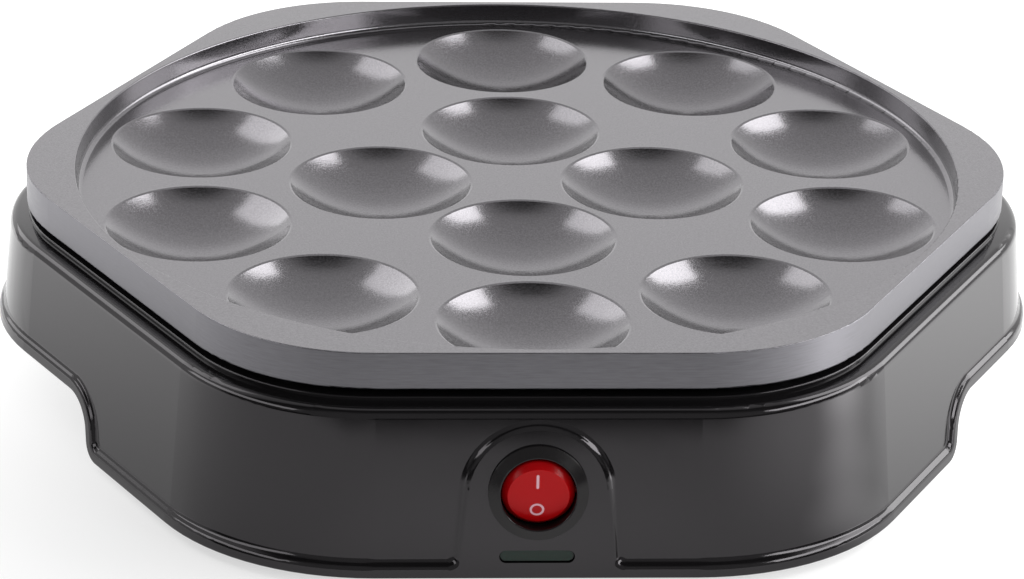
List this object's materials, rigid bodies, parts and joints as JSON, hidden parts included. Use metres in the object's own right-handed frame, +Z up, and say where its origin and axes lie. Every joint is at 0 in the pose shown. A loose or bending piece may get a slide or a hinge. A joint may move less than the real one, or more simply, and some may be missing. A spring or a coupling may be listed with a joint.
{
  "type": "electric skillet",
  "caption": "Electric mini-pancake maker: hexagonal dimpled cast baking plate on a low moulded base with a round rocker switch and a slim indicator in front.",
  "frame": {"origin": "centre of the bounding box, on the plane of the feet's undersides", "axes": "+X to the right seen from the switch, +Y from the switch to the cord outlet, +Z up"},
  "size_m": [0.259, 0.2434, 0.0552],
  "materials": {
    "cast_aluminium": "cast, with a dark grey non-stick coat on top and a bare machined side",
    "heater_steel": "drawn tube, lightly oxidised",
    "plated_steel": "zinc plated",
    "shield_steel": "aluminised sheet",
    "ceramic": "steatite, unglazed",
    "brass": "stamped",
    "fibre": "pressed insulating fibre",
    "shell_plastic": "polished, glossy dark grey",
    "cover_plastic": "fine texture",
    "rubber": "moulded",
    "switch_plastic": "polished black",
    "rocker_plastic": "translucent red, polished",
    "lens_plastic": "translucent dark green, polished",
    "lamp_glass": "clear",
    "nylon": "natural nylon"
  },
  "bodies": {
    "base": {"baking_plate": "cast_aluminium", "heating_element": "heater_steel", "element_terminals": "plated_steel", "element_beads": "ceramic", "thermostat_cap": "plated_steel", "thermostat_body": "ceramic", "thermostat_blades": "brass", "thermostat_screws": "plated_steel", "thermal_fuse": "heater_steel", "fuse_clip": "plated_steel", "fuse_clip_screw": "plated_steel", "heat_shield": "shield_steel", "shield_spacers": "plated_steel", "shield_screws": "plated_steel", "base_shell": "shell_plastic", "plate_screws": "plated_steel", "plate_washers": "fibre", "bottom_cover": "cover_plastic", "cover_screws": "plated_steel", "rubber_feet": "rubber", "switch_housing": "switch_plastic", "switch_common_terminal": "brass", "switch_load_terminal": "brass", "indicator_lens": "lens_plastic", "indicator_lamp": "lamp_glass", "lamp_holder": "nylon", "cord_bush": "rubber", "cord_clamp": "nylon", "clamp_screws": "plated_steel", "terminal_block": "nylon", "block_sleeves": "brass", "earth_tag": "brass", "earth_screw": "plated_steel"},
    "rocker": {"switch_rocker": "rocker_plastic", "switch_plunger": "nylon", "switch_spring": "plated_steel"},
    "seesaw": {"contact_blade": "brass"}
  },
  "joints": [
    {"name": "rocker_tilt", "type": "hinge", "parent": "base", "child": "rocker", "pos_m": [0, -0.11592, 0.02301], "axis": [-1, 0, 0], "range_deg": [0, 24]},
    {"name": "seesaw_tilt", "type": "hinge", "parent": "base", "child": "seesaw", "pos_m": [0, -0.10945, 0.02237], "axis": [-1, 0, 0], "range_deg": [-14, 0]}
  ],
  "couplings": [
    {"joint": "seesaw_tilt", "follows": "rocker_tilt", "ratio": -0.58333}
  ]
}
